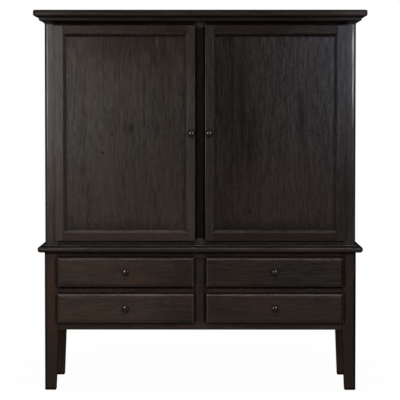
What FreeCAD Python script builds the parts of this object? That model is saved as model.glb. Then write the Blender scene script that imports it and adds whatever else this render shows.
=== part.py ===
import FreeCAD, Part
import os
from types import SimpleNamespace
import Sketcher
from FreeCAD import Placement, Rotation, Vector

# Computer armoire in millimetres: a four-drawer base on tapered legs under a two-door cabinet.
# +Z is up, the front faces -Y, and the origin lies on the floor under the middle of the overall box.

SIZES = {
    # overall body
    "body_width": 1554,
    "case_depth": 640,
    # base: legs, rails and panels
    "leg_width": 67.5,
    "leg_proud": 3.5,
    "foot_width": 55.5,
    "leg_clear": 304,
    "leg_round": 9,
    "leg_edge": 3,
    "foot_round": 4,
    "bottom_rail": 41.5,
    "lower_opening": 134.5,
    "middle_rail": 46.5,
    "upper_opening": 136,
    "top_rail": 31,
    "rail_thickness": 24,
    "drawer_stile": 70,
    "partition_thickness": 18,
    "side_thickness": 18,
    "side_recess": 5,
    "back_thickness": 10,
    "back_recess": 4,
    # waist board and the plinth that the cabinet stands on
    "waist_thickness": 30,
    "waist_overhang": 36,
    "waist_ends": 37,
    "waist_nose": 14,
    "waist_corner": 18,
    "plinth_height": 7,
    "plinth_overhang": 8,
    "plinth_round": 2.5,
    "plinth_corner": 8,
    # cabinet
    "post_width": 64,
    "post_depth": 45,
    "post_round": 10,
    "lower_rail": 33,
    "door_opening": 1052,
    "frieze": 57,
    "centre_stile": 72,
    "board_thickness": 22,
    "edge_round": 2,
    # cornice
    "cap_thickness": 31,
    "cornice_overhang": 56,
    "cornice_ends": 54,
    "cap_nose": 9,
    "cap_corner": 16,
    "step_height": 22.5,
    "step_ledge": 1.5,
    "step_round": 6,
    "cove_radius": 19,
    # shelf and cable ports
    "shelf_rise": 533,
    "shelf_play": 0.5,
    "shelf_setback": 2,
    "pin_radius": 3,
    "pin_seat": 12,
    "pin_reach": 14,
    "pin_play": 0.05,
    "port_width": 110,
    "port_height": 70,
    "port_spacing": 760,
    # doors
    "door_overlap": 11,
    "door_thickness": 24,
    "door_gap": 2,
    "frame_width": 40,
    "moulding_width": 15,
    "moulding_height": 12,
    "moulding_edge": 2,
    "panel_recess": 13,
    "panel_thickness": 8,
    "groove_depth": 8,
    "groove_play": 0.1,
    "panel_play": 1,
    # pivot hinges and catches
    "pivot_inset": 6,
    "pivot_radius": 2.5,
    "pivot_depth": 14,
    "pivot_play": 0.05,
    "pivot_bore_play": 0.5,
    "pivot_lift": 0.3,
    "plate_thickness": 3,
    "plate_width": 22,
    "plate_reach": 22,
    "plate_margin": 8,
    "leaf_length": 38,
    "leaf_edge": 2,
    "leaf_width": 16,
    "catch_width": 14,
    "catch_height": 50,
    "catch_drop": 8,
    "strike_thickness": 1.5,
    # drawers
    "drawer_overlap": 6,
    "drawer_gap": 0.5,
    "front_thickness": 20,
    "bevel_width": 17,
    "bevel_depth": 9,
    "bevel_radius": 30,
    "drawer_play": 2,
    "drawer_depth": 480,
    "wall_thickness": 12,
    "wall_height": 118,
    "bottom_thickness": 6,
    "bottom_rise": 10,
    "bottom_groove": 5,
    "bottom_play": 0.1,
    "runner_height": 20,
    "runner_rise": 1,
    "runner_width": 28,
    "runner_gap": 0.3,
    "guide_height": 20,
    # knobs
    "knob_radius": 15,
    "knob_face": 12,
    "knob_length": 22.9,
    "knob_base": 9,
    "knob_flange": 2.5,
    "knob_neck": 5.5,
    "knob_cone": 1.5,
    "knob_shoulder": 9,
    "knob_swell": 9,
    "knob_belly": 17,
    "knob_rim": 4,
    "knob_rim_round": 5,
    "knob_bore": 14,
    "screw_radius": 2,
    "screw_head": 4.5,
    "screw_head_height": 3,
    "screw_play": 0.1,
    "screw_end_gap": 0.5,
}

doc = FreeCAD.newDocument("Armoire")
sheet = doc.addObject("Spreadsheet::Sheet", "sizes")
for row, (alias, number) in enumerate(SIZES.items(), start=1):
    sheet.set(f"A{row}", alias)
    sheet.set(f"B{row}", str(number))
    sheet.setAlias(f"B{row}", alias)
doc.recompute()


class Size:
    """A length together with the sheet formula that gives it."""

    def __init__(self, value, formula):
        self.value = float(value)
        self.formula = formula

    def __add__(self, other):
        other = as_size(other)
        return Size(self.value + other.value, f"({self.formula} + {other.formula})")

    def __sub__(self, other):
        other = as_size(other)
        return Size(self.value - other.value, f"({self.formula} - {other.formula})")

    def __mul__(self, factor):
        factor = as_size(factor)
        return Size(self.value * factor.value, f"({self.formula} * {factor.formula})")

    def __truediv__(self, divisor):
        divisor = as_size(divisor)
        return Size(self.value / divisor.value, f"({self.formula} / {divisor.formula})")

    def __neg__(self):
        return Size(-self.value, f"(-{self.formula})")


def as_size(length):
    """A Size as it is, or a bare number as one."""
    return length if isinstance(length, Size) else Size(length, repr(float(length)))


ZERO = as_size(0)
size = SimpleNamespace(**{alias: Size(sheet.get(alias), f"sizes.{alias}") for alias in SIZES})
nodes = {}


def keep(label, shape):
    """Makes an object a named sub-part of the armoire."""
    shape.Label = label
    nodes[label] = shape
    return shape


def bind(item, prop, length):
    """Ties one property to its formula."""
    item.setExpression(prop, as_size(length).formula)


def put(item, x, y, z, turn=None):
    """Places an object's own origin, turned about it by a fixed rotation."""
    item.Placement = Placement(Vector(0, 0, 0), turn or Rotation())
    for axis, length in zip("xyz", (x, y, z)):
        bind(item, f"Placement.Base.{axis}", length)
    return item


def mirror(side, near, far):
    """The low and high ends of a span from near to far off the middle, left (-1) or right (1)."""
    return (near, far) if side > 0 else (-far, -near)


def box(name, x, y, z):
    """A square-edged board; each of x, y and z is a (low, high) pair."""
    board = doc.addObject("Part::Box", name)
    for prop, (low, high) in zip(("Length", "Width", "Height"), (x, y, z)):
        bind(board, prop, high - low)
    return put(board, x[0], y[0], z[0])


def rod(name, radius, length, x, y, z, turn=None):
    """A plain cylinder that starts at a point and runs along its own axis."""
    cylinder = doc.addObject("Part::Cylinder", name)
    bind(cylinder, "Radius", radius)
    bind(cylinder, "Height", length)
    return put(cylinder, x, y, z, turn)


def group(name, members):
    """Separate solids that are kept as one sub-part."""
    compound = doc.addObject("Part::Compound", name)
    compound.Links = members
    return compound


def cut(name, base, tools):
    """A solid with the tools' shapes taken out of it."""
    result = doc.addObject("Part::Cut", name)
    result.Base = base
    result.Tool = tools[0] if len(tools) == 1 else group(name + "_tools", tools)
    return result


def plane(body, role):
    """One of a body's own origin planes."""
    return next(item for item in body.Origin.OriginFeatures if item.Role == role)


def arc_between(start, end, radius, turn):
    """The smaller arc from start to end; turn is 1 to the left and -1 to the right."""
    chord = end - start
    across = Vector(-chord.y, chord.x, 0).normalize() * turn
    depth = (radius ** 2 - chord.Length ** 2 / 4) ** 0.5
    middle = (start + end) / 2 - across * (radius - depth)
    return Part.Arc(start, middle, end)


def outline(body, name, role, corners, lift=ZERO):
    """A closed sketch on an origin plane.

    A corner is (u, v) where a straight edge reaches it, or (u, v, radius, turn) where an arc does.
    Every corner is held at its distances from the body's own axes.
    """
    sketch = body.newObject("Sketcher::SketchObject", name)
    sketch.AttachmentSupport = [(plane(body, role), "")]
    sketch.MapMode = "FlatFace"
    bind(sketch, "AttachmentOffset.Base.z", lift)
    corners = [tuple(as_size(part) for part in corner[:3]) + corner[3:] for corner in corners]
    points = [Vector(corner[0].value, corner[1].value, 0) for corner in corners]
    ends = []
    for index, corner in enumerate(corners):
        start, end = points[index - 1], points[index]
        if len(corner) == 2:
            edge = sketch.addGeometry(Part.LineSegment(start, end))
            ends.append((edge, 1, 2))
            continue
        edge = sketch.addGeometry(arc_between(start, end, corner[2].value, corner[3]))
        ends.append((edge, 1, 2) if corner[3] > 0 else (edge, 2, 1))
        radius = sketch.addConstraint(Sketcher.Constraint("Radius", edge, corner[2].value))
        sketch.renameConstraint(radius, f"radius_{index}")
        bind(sketch, f"Constraints.radius_{index}", corner[2])
    for index, (edge, first, last) in enumerate(ends):
        before = ends[index - 1]
        sketch.addConstraint(Sketcher.Constraint("Coincident", before[0], before[2], edge, first))
        across, up = corners[index][:2]
        for kind, axis, length in (("DistanceX", -2, across), ("DistanceY", -1, up)):
            if length.formula == ZERO.formula:
                sketch.addConstraint(Sketcher.Constraint("PointOnObject", edge, last, axis))
                continue
            held = sketch.addConstraint(Sketcher.Constraint(kind, -1, 1, edge, last, length.value))
            sketch.renameConstraint(held, f"{kind}_{index}")
            bind(sketch, f"Constraints.{kind}_{index}", length)
    return sketch


def pad(body, sketch, length, reverse=False):
    """Adds material from a sketch."""
    feature = body.newObject("PartDesign::Pad", sketch.Name + "_pad")
    feature.Profile = sketch
    feature.Reversed = reverse
    bind(feature, "Length", length)
    doc.recompute()
    return feature


def pocket(body, sketch):
    """Cuts a sketch right through, both ways, and makes sure that it took material away."""
    volume = body.Shape.Volume
    feature = body.newObject("PartDesign::Pocket", sketch.Name + "_cut")
    feature.Profile = sketch
    feature.Type = "ThroughAll"
    feature.SideType = "Symmetric"
    doc.recompute()
    if not body.Shape.Volume < volume:
        raise RuntimeError(f"{feature.Label} cut nothing")
    return feature


def round_edges(body, base, radius, chosen):
    """Rounds the edges of a feature that a test of their two ends and middle picks."""
    names = []
    for number, edge in enumerate(base.Shape.Edges, start=1):
        middle = edge.valueAt((edge.FirstParameter + edge.LastParameter) / 2)
        if chosen([vertex.Point for vertex in edge.Vertexes] + [middle]):
            names.append(f"Edge{number}")
    feature = body.newObject("PartDesign::Fillet", base.Name + "_round")
    feature.Base = (base, names)
    bind(feature, "Radius", radius)
    doc.recompute()
    return feature


def same(value, length):
    """Whether a coordinate lies at a length."""
    return abs(value - as_size(length).value) < 1e-4


def soft_board(name, x, y, z, radius):
    """A board whose front edges are eased; each of x, y and z is a (low, high) pair."""
    body = doc.addObject("PartDesign::Body", name)
    wide, deep = x[1] - x[0], y[1] - y[0]
    sketch = outline(body, name + "_plan", "XY_Plane", [(0, 0), (wide, 0), (wide, deep), (0, deep)])
    block = pad(body, sketch, z[1] - z[0])
    round_edges(body, block, radius, lambda points: all(same(point.y, 0) for point in points))
    return put(body, x[0], y[0], z[0])


def turned(name, profile, x, y, z, turn=None):
    """A solid of revolution from a half profile of (radius, height) corners."""
    body = doc.addObject("PartDesign::Body", name)
    sketch = outline(body, name + "_profile", "XZ_Plane", profile)
    feature = body.newObject("PartDesign::Revolution", name + "_turn")
    feature.Profile = sketch
    feature.ReferenceAxis = (sketch, ["V_Axis"])
    feature.Angle = 360
    doc.recompute()
    return put(body, x, y, z, turn)


# Levels and planes that the pieces share
half = size.body_width / 2
front = (size.cornice_overhang - size.case_depth) / 2
back = front + size.case_depth
behind_rails = front + size.rail_thickness
leg_outer = half + size.leg_proud
leg_inner = leg_outer - size.leg_width
lower_drawer_floor = size.leg_clear + size.bottom_rail
middle_rail_low = lower_drawer_floor + size.lower_opening
upper_drawer_floor = middle_rail_low + size.middle_rail
top_rail_low = upper_drawer_floor + size.upper_opening
waist_low = top_rail_low + size.top_rail
waist_top = waist_low + size.waist_thickness
case_low = waist_top + size.plinth_height
desk_top = case_low + size.lower_rail
door_head = desk_top + size.door_opening
case_top = door_head + size.frieze
cap_top = case_top + size.cap_thickness
post_inner = half - size.post_width
panel_outer = half - size.side_recess
panel_inner = panel_outer - size.side_thickness
back_face = back - size.back_recess
back_inner = back_face - size.back_thickness
step_overhang = size.cove_radius + size.step_ledge + size.step_round
FORWARD = Rotation(Vector(1, 0, 0), 90)

# Base: four square legs that taper on their inner faces below the bottom rail
def leg_section(body, name, width, lift):
    """A square with a well rounded outer corner, on which it stands, and three eased ones."""
    outer, edge = size.leg_round, size.leg_edge
    far = width - edge
    return outline(body, name, "XY_Plane", [
        (outer, 0, outer, 1), (far, 0), (width, edge, edge, 1), (width, far),
        (far, width, edge, 1), (edge, width), (0, far, edge, 1), (0, outer)], lift)


def leg(label, quarter, x, y):
    """One leg, turned by quarters of a circle so that its tapered faces look inwards."""
    body = doc.addObject("PartDesign::Body", label)
    square = leg_section(body, label + "_post", size.leg_width, size.leg_clear)
    pad(body, square, waist_low - size.leg_clear)
    taper = body.newObject("PartDesign::AdditiveLoft", label + "_taper")
    taper.Profile = leg_section(body, label + "_knee", size.leg_width, size.leg_clear)
    taper.Sections = [leg_section(body, label + "_foot", size.foot_width, ZERO)]
    taper.Ruled = True
    doc.recompute()
    round_edges(body, taper, size.foot_round, lambda points: all(same(point.z, 0) for point in points))
    keep(label, put(body, x, y, ZERO, Rotation(Vector(0, 0, 1), 90 * quarter)))


leg("front_left_leg", 0, -leg_outer, front)
leg("front_right_leg", 1, leg_outer, front)
leg("rear_right_leg", 2, leg_outer, back)
leg("rear_left_leg", 3, -leg_outer, back)

sides = ((-1, "left"), (1, "right"))
base_height = (size.leg_clear, waist_low)
between_legs = (front + size.leg_width, back - size.leg_width)
for side, word in sides:
    keep(f"base_{word}_side", box(
        f"base_{word}", mirror(side, panel_inner, panel_outer), between_legs, base_height))
keep("base_back", box("base_back_board", (-leg_inner, leg_inner), (back_inner, back_face), base_height))

rail_depth = (front, behind_rails)
across_base = (-leg_inner, leg_inner)
stile_half = size.drawer_stile / 2
keep("base_top_rail", soft_board(
    "top_rail_board", across_base, rail_depth, (top_rail_low, waist_low), size.edge_round))
keep("base_bottom_rail", soft_board(
    "bottom_rail_board", across_base, rail_depth, (size.leg_clear, lower_drawer_floor), size.edge_round))
keep("base_centre_stile", soft_board(
    "drawer_stile_board", (-stile_half, stile_half), rail_depth,
    (lower_drawer_floor, top_rail_low), size.edge_round))
keep("base_middle_rails", group("middle_rails", [
    soft_board(f"{word}_middle_rail", mirror(side, stile_half, leg_inner), rail_depth,
               (middle_rail_low, upper_drawer_floor), size.edge_round)
    for side, word in sides]))

partition_half = size.partition_thickness / 2
runner_length = (behind_rails, back_inner)
keep("drawer_partition", box(
    "partition_board", (-partition_half, partition_half), runner_length, base_height))


def runners(side, word, floor, level):
    """The two runners under one drawer and the guide that keeps it straight beside the partition."""
    top = floor + size.runner_rise
    low = top - size.runner_height
    inner_edge = stile_half + size.runner_width
    return [
        box(f"{level}_{word}_outer_runner", mirror(side, leg_inner - size.runner_width, leg_inner),
            runner_length, (low, top)),
        box(f"{level}_{word}_inner_runner", mirror(side, partition_half, inner_edge),
            runner_length, (low, top)),
        box(f"{level}_{word}_guide", mirror(side, partition_half, stile_half),
            runner_length, (top, top + size.guide_height)),
    ]


keep("drawer_runners", group("runner_set", [
    piece
    for side, word in sides
    for floor, level in ((lower_drawer_floor, "lower"), (upper_drawer_floor, "upper"))
    for piece in runners(side, word, floor, level)]))


# Waist board, plinth and cornice cap: flat boards with rounded noses on the front and the two ends
def nosed_board(label, overhang, ends, corner, low, high, nose, lower_nose):
    """A board that overhangs the body in front and at both ends, with rounded edges there."""
    body = doc.addObject("PartDesign::Body", label)
    wide, deep = (half + ends) * 2, size.case_depth + overhang
    sketch = outline(body, label + "_plan", "XY_Plane", [
        (corner, 0, corner, 1), (wide - corner, 0), (wide, corner, corner, 1),
        (wide, deep), (0, deep), (0, corner)])
    slab = pad(body, sketch, high - low)
    thick = (high - low).value

    def on_nose(points):
        level = all(same(point.z, thick) for point in points)
        level = level or (lower_nose and all(same(point.z, 0) for point in points))
        return level and not all(same(point.y, deep) for point in points)

    round_edges(body, slab, nose, on_nose)
    keep(label, put(body, -half - ends, front - overhang, low))


nosed_board("waist_board", size.waist_overhang, size.waist_ends, size.waist_corner,
            waist_low, waist_top, size.waist_nose, True)
nosed_board("plinth_board", size.plinth_overhang, size.plinth_overhang, size.plinth_corner,
            waist_top, case_low, size.plinth_round, False)
nosed_board("cornice_cap", size.cornice_overhang, size.cornice_ends, size.cap_corner,
            case_top, cap_top, size.cap_nose, True)

# Pivot hinge positions: the pin stands at the middle of the door's thickness, near its outer edge
door_inner = size.centre_stile / 2 - size.door_overlap
door_outer = post_inner + size.door_overlap
door_low = desk_top - size.door_overlap
door_high = door_head + size.door_overlap
door_back = front - size.door_gap
door_front = door_back - size.door_thickness
pivot_x = door_outer - size.pivot_inset
pivot_y = door_back - size.door_thickness / 2
plate_x = (post_inner, post_inner + size.plate_width)
plate_y = (pivot_y - size.plate_margin, front + size.plate_reach)
upper_plate = (door_high + size.pivot_lift, door_high + size.pivot_lift + size.plate_thickness)
lower_plate = (door_low - size.pivot_lift - size.plate_thickness, door_low - size.pivot_lift)

# Cabinet: corner posts with slots for the hinge plates and holes for the shelf pins
shelf_low = desk_top + size.shelf_rise
pin_level = shelf_low - size.pin_radius
front_pin = front + (size.rail_thickness + size.post_depth) / 2
rear_pin = back - size.post_depth / 2


def pin_hole(name, side, y):
    """A drilled seat in a post's inner face."""
    turn = Rotation(Vector(0, 1, 0), 90 * side)
    return rod(name, size.pin_radius + size.pin_play, size.pin_seat, post_inner * side, y, pin_level, turn)


def front_post(side, word):
    """A front corner post, rounded on its outer front corner."""
    name = f"{word}_post"
    body = doc.addObject("PartDesign::Body", name)
    plan = outline(body, name + "_plan", "XY_Plane", [
        (0, 0), (size.post_width, 0), (size.post_width, size.post_depth), (0, size.post_depth)])
    post = pad(body, plan, case_top - case_low)
    outer = ZERO if side < 0 else size.post_width
    round_edges(body, post, size.post_round, lambda points: all(
        same(point.x, outer) and same(point.y, 0) for point in points))
    put(body, mirror(side, post_inner, half)[0], front, case_low)
    slot_y = (front, plate_y[1])
    keep(f"{word}_front_post", cut(name + "_cut", body, [
        box(name + "_upper_slot", mirror(side, *plate_x), slot_y, upper_plate),
        box(name + "_lower_slot", mirror(side, *plate_x), slot_y, lower_plate),
        pin_hole(name + "_pin_hole", side, front_pin)]))


cabinet_height = (case_low, case_top)
for side, word in sides:
    front_post(side, word)
keep("rear_posts", group("rear_post_pair", [
    cut(f"rear_{word}_post", box(f"rear_{word}_post_block", mirror(side, post_inner, half),
                                 (back - size.post_depth, back), cabinet_height),
        [pin_hole(f"rear_{word}_pin_hole", side, rear_pin)])
    for side, word in sides]))
between_posts = (front + size.post_depth, back - size.post_depth)
for side, word in sides:
    keep(f"{word}_side_panel", box(
        f"{word}_cabinet_side", mirror(side, panel_inner, panel_outer), between_posts, cabinet_height))

across_posts = (-post_inner, post_inner)
centre_half = size.centre_stile / 2
keep("lower_rail", soft_board(
    "lower_rail_board", across_posts, rail_depth, (case_low, desk_top), size.edge_round))
keep("frieze_rail", soft_board(
    "frieze_board", across_posts, rail_depth, (door_head, case_top), size.edge_round))
keep("centre_stile", soft_board(
    "centre_stile_board", (-centre_half, centre_half), rail_depth, (desk_top, door_head), size.edge_round))


def notched_board(label, low, high):
    """A board that fills the cabinet from the rails to the back, cut out round the four posts."""
    body = doc.addObject("PartDesign::Body", label)
    wide = panel_inner * 2
    notch = panel_inner - post_inner
    near = size.post_depth - size.rail_thickness
    deep = back_face - behind_rails
    far = deep - (size.post_depth - size.back_recess)
    sketch = outline(body, label + "_plan", "XY_Plane", [
        (notch, 0), (wide - notch, 0), (wide - notch, near), (wide, near), (wide, far), (wide - notch, far),
        (wide - notch, deep), (notch, deep), (notch, far), (0, far), (0, near), (notch, near)])
    pad(body, sketch, high - low)
    keep(label, put(body, -panel_inner, behind_rails, low))


notched_board("work_surface", desk_top - size.board_thickness, desk_top)
notched_board("case_roof", case_top - size.board_thickness, case_top)

# Back: one large board over three low ones, whose gaps are the cable ports
port_top = desk_top + size.port_height
port_near = (size.port_spacing - size.port_width) / 2
port_far = (size.port_spacing + size.port_width) / 2
back_depth = (back_inner, back_face)
low_board = (desk_top, port_top)
keep("back_boards", group("back_board_set", [
    box("main_back_board", across_posts, back_depth, (port_top, case_top - size.board_thickness)),
    box("left_low_back_board", (-post_inner, -port_far), back_depth, low_board),
    box("middle_low_back_board", (-port_near, port_near), back_depth, low_board),
    box("right_low_back_board", (port_far, post_inner), back_depth, low_board)]))

# Shelf on four pins in the posts
shelf_half = post_inner - size.shelf_play
keep("shelf", box("shelf_board", (-shelf_half, shelf_half), (behind_rails + size.shelf_setback, back_inner),
                  (shelf_low, shelf_low + size.board_thickness)))


def shelf_pin(name, side, y):
    """A plain pin, half in its post and half under the shelf."""
    turn = Rotation(Vector(0, 1, 0), -90 * side)
    start = (post_inner + size.pin_seat) * side
    return rod(name, size.pin_radius, size.pin_seat + size.pin_reach, start, y, pin_level, turn)


keep("shelf_pins", group("shelf_pin_set", [
    shelf_pin(f"{word}_{place}_pin", side, y)
    for side, word in sides
    for place, y in (("front", front_pin), ("rear", rear_pin))]))


# Cornice moulding: a cove under a rounded step, mitred at the two front corners
def moulding_run(name, length, mitres, x, y, turn):
    """One straight run; its section stands out along local X and its length is local Y."""
    body = doc.addObject("PartDesign::Body", name)
    step_low = size.cove_radius
    high = size.cove_radius + size.step_height
    section = outline(body, name + "_section", "XZ_Plane", [
        (0, 0), (size.cove_radius, step_low, size.cove_radius, -1),
        (size.cove_radius + size.step_ledge, step_low),
        (step_overhang, step_low + size.step_round, size.step_round, 1), (step_overhang, high), (0, high)])
    pad(body, section, length, reverse=True)
    reach = step_overhang
    near = [(0, 0), (reach, 0), (0, reach)]
    far = [(0, length), (0, length - reach), (reach, length)]
    for place, triangle in (("near", near), ("far", far)):
        if place in mitres:
            pocket(body, outline(body, f"{name}_{place}_mitre", "XY_Plane", triangle))
    return put(body, x, y, case_top - high, turn)


moulding_length = size.body_width + step_overhang * 2
return_length = size.case_depth + step_overhang
keep("cornice_moulding", group("cornice_runs", [
    moulding_run("front_cornice", moulding_length, ("near", "far"), -half - step_overhang, front,
                 Rotation(Vector(0, 0, 1), -90)),
    moulding_run("left_cornice", return_length, ("far",), -half, back, Rotation(Vector(0, 0, 1), 180)),
    moulding_run("right_cornice", return_length, ("near",), half, front - step_overhang, Rotation())]))


# Pivot hinges: plates let into the posts above and below each door, each with its pin
def hinge_plate(name, side, level, pin_low):
    """A flat plate in its slot, with the pin that the door turns on."""
    plate = doc.addObject("Part::Fuse", name)
    plate.Base = box(name + "_plate", mirror(side, *plate_x), plate_y, level)
    length = size.pivot_depth + size.pivot_lift + size.plate_thickness
    plate.Tool = rod(name + "_pin", size.pivot_radius, length, pivot_x * side, pivot_y, pin_low)
    return plate


keep("hinge_plates", group("hinge_plate_set", [
    plate
    for side, word in sides
    for plate in (hinge_plate(f"{word}_upper_hinge", side, upper_plate, door_high - size.pivot_depth),
                  hinge_plate(f"{word}_lower_hinge", side, lower_plate, lower_plate[0]))]))

catch_x = (centre_half, centre_half + size.catch_width)
catch_z = (door_head - size.catch_drop - size.catch_height, door_head - size.catch_drop)
keep("door_catches", group("catch_pair", [
    box(f"{word}_catch", mirror(side, *catch_x), rail_depth, catch_z) for side, word in sides]))


def knob(label, grip, x, y, z):
    """A turned knob standing on a front face, and the screw that holds it through the board behind.

    The knob's face is part of a large ball whose centre is on the axis, inside a rounded rim.
    """
    bore = size.screw_radius + size.screw_play
    rim = size.knob_belly + size.knob_rim
    rise = size.knob_length - rim
    dome = (size.knob_face * size.knob_face + rise * rise) / (rise * 2)
    head = turned(label + "_head", [
        (size.knob_base, 0), (size.knob_base, size.knob_flange),
        (size.knob_neck, size.knob_flange + size.knob_cone),
        (size.knob_neck, size.knob_shoulder), (size.knob_radius, size.knob_belly, size.knob_swell, 1),
        (size.knob_face, rim, size.knob_rim_round, 1), (0, size.knob_length, dome, 1),
        (0, size.knob_bore), (bore, size.knob_bore), (bore, 0)],
        x, y, z, FORWARD)
    length = size.screw_head_height + grip + size.knob_bore - size.screw_end_gap
    screw = turned(label + "_screw", [
        (size.screw_head, 0), (size.screw_head, size.screw_head_height),
        (size.screw_radius, size.screw_head_height),
        (size.screw_radius, length), (0, length), (0, 0)],
        x, y + grip + size.screw_head_height, z, FORWARD)
    keep(label, group(label + "_pair", [head, screw]))


def screw_hole(name, grip, x, y, z):
    """A hole for a knob's screw, drilled back from a front face."""
    return rod(name, size.screw_radius + size.screw_play, grip, x, y + grip, z, FORWARD)


# Doors: stiles, rails, a floating panel and four mitred moulding strips
def door(side, word):
    """One overlay door, hinged on its outer edge."""
    name = f"{word}_door"
    depth, height = (door_front, door_back), (door_low, door_high)
    inner_edge, outer_edge = door_inner + size.frame_width, door_outer - size.frame_width
    low_edge, high_edge = door_low + size.frame_width, door_high - size.frame_width
    panel_front = door_front + size.panel_recess
    panel_back = panel_front + size.panel_thickness
    groove = (panel_front - size.groove_play, panel_back + size.groove_play)
    long_groove = (low_edge - size.groove_depth, high_edge + size.groove_depth)
    knob_x = (door_inner + size.frame_width / 2) * side
    knob_z = (door_low + door_high) / 2

    leaf_x = (door_outer - size.leaf_edge - size.leaf_length, door_outer - size.leaf_edge)
    leaf_y = (pivot_y - size.leaf_width / 2, pivot_y + size.leaf_width / 2)
    leaf_levels = (("upper", (door_high - size.plate_thickness, door_high)),
                   ("lower", (door_low, door_low + size.plate_thickness)))
    bore_depth = size.pivot_depth + size.pivot_bore_play
    bore = size.pivot_radius + size.pivot_bore_play
    bores = [rod(f"{name}_{place}_bore", bore, bore_depth, pivot_x * side, pivot_y, low)
             for place, low in (("upper", door_high - bore_depth), ("lower", door_low))]
    mortises = [box(f"{name}_{place}_mortise", mirror(side, *leaf_x), leaf_y, level)
                for place, level in leaf_levels]
    hinge_stile = cut(f"{name}_hinge_stile", soft_board(
        f"{name}_outer", mirror(side, outer_edge, door_outer), depth, height, size.edge_round), [
        box(f"{name}_outer_groove", mirror(side, outer_edge, outer_edge + size.groove_depth),
            groove, long_groove),
        *mortises])
    hinge_stile = cut(f"{name}_bored_stile", hinge_stile, bores)
    meeting_stile = cut(f"{name}_meeting_stile", soft_board(
        f"{name}_inner", mirror(side, door_inner, inner_edge), depth, height, size.edge_round), [
        box(f"{name}_inner_groove", mirror(side, inner_edge - size.groove_depth, inner_edge),
            groove, long_groove),
        screw_hole(f"{name}_knob_hole", size.door_thickness, knob_x, door_front, knob_z)])
    keep(f"{name}_stiles", group(f"{name}_stile_pair", [hinge_stile, meeting_stile]))

    rail_x = mirror(side, inner_edge, outer_edge)
    keep(f"{name}_rails", group(f"{name}_rail_pair", [
        cut(f"{name}_bottom_rail",
            soft_board(f"{name}_bottom", rail_x, depth, (door_low, low_edge), size.edge_round),
            [box(f"{name}_bottom_groove", rail_x, groove, (low_edge - size.groove_depth, low_edge))]),
        cut(f"{name}_top_rail",
            soft_board(f"{name}_top", rail_x, depth, (high_edge, door_high), size.edge_round),
            [box(f"{name}_top_groove", rail_x, groove, (high_edge, high_edge + size.groove_depth))])]))

    tongue = size.groove_depth - size.panel_play
    keep(f"{name}_panel", box(
        f"{name}_board", mirror(side, inner_edge - tongue, outer_edge + tongue), (panel_front, panel_back),
        (low_edge - tongue, high_edge + tongue)))

    left, right = rail_x
    wide, high = right - left, high_edge - low_edge
    strips = []
    for place, quarter, length, x, z in (
            ("bottom", 0, wide, left, low_edge), ("right", 90, high, right, low_edge),
            ("top", 180, wide, right, high_edge), ("left", -90, high, left, high_edge)):
        strip = doc.addObject("Part::Wedge", f"{name}_{place}_strip")
        for prop, reach in (
                ("Xmin", ZERO), ("Xmax", length), ("Ymin", ZERO), ("Ymax", size.moulding_width),
                ("Zmin", ZERO), ("Zmax", size.moulding_height), ("X2min", size.moulding_width),
                ("X2max", length - size.moulding_width), ("Z2min", ZERO), ("Z2max", size.moulding_edge)):
            bind(strip, prop, reach)
        strips.append(put(strip, x, panel_front, z, FORWARD.multiply(Rotation(Vector(0, 0, 1), quarter))))
    keep(f"{name}_moulding", group(f"{name}_strips", strips))

    knob(f"{name}_knob", size.door_thickness, knob_x, door_front, knob_z)
    leaves = [
        cut(f"{name}_{place}_leaf", box(
            f"{name}_{place}_leaf_plate", mirror(side, *leaf_x), leaf_y, level), [
            rod(f"{name}_{place}_eye", size.pivot_radius + size.pivot_play, size.plate_thickness,
                pivot_x * side, pivot_y, level[0])])
        for place, level in leaf_levels]
    strike_y = (door_back, door_back + size.strike_thickness)
    strike = box(f"{name}_strike", mirror(side, *catch_x), strike_y, catch_z)
    keep(f"{name}_fittings", group(f"{name}_fitting_set", leaves + [strike]))


for side, word in sides:
    door(side, word)


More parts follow.
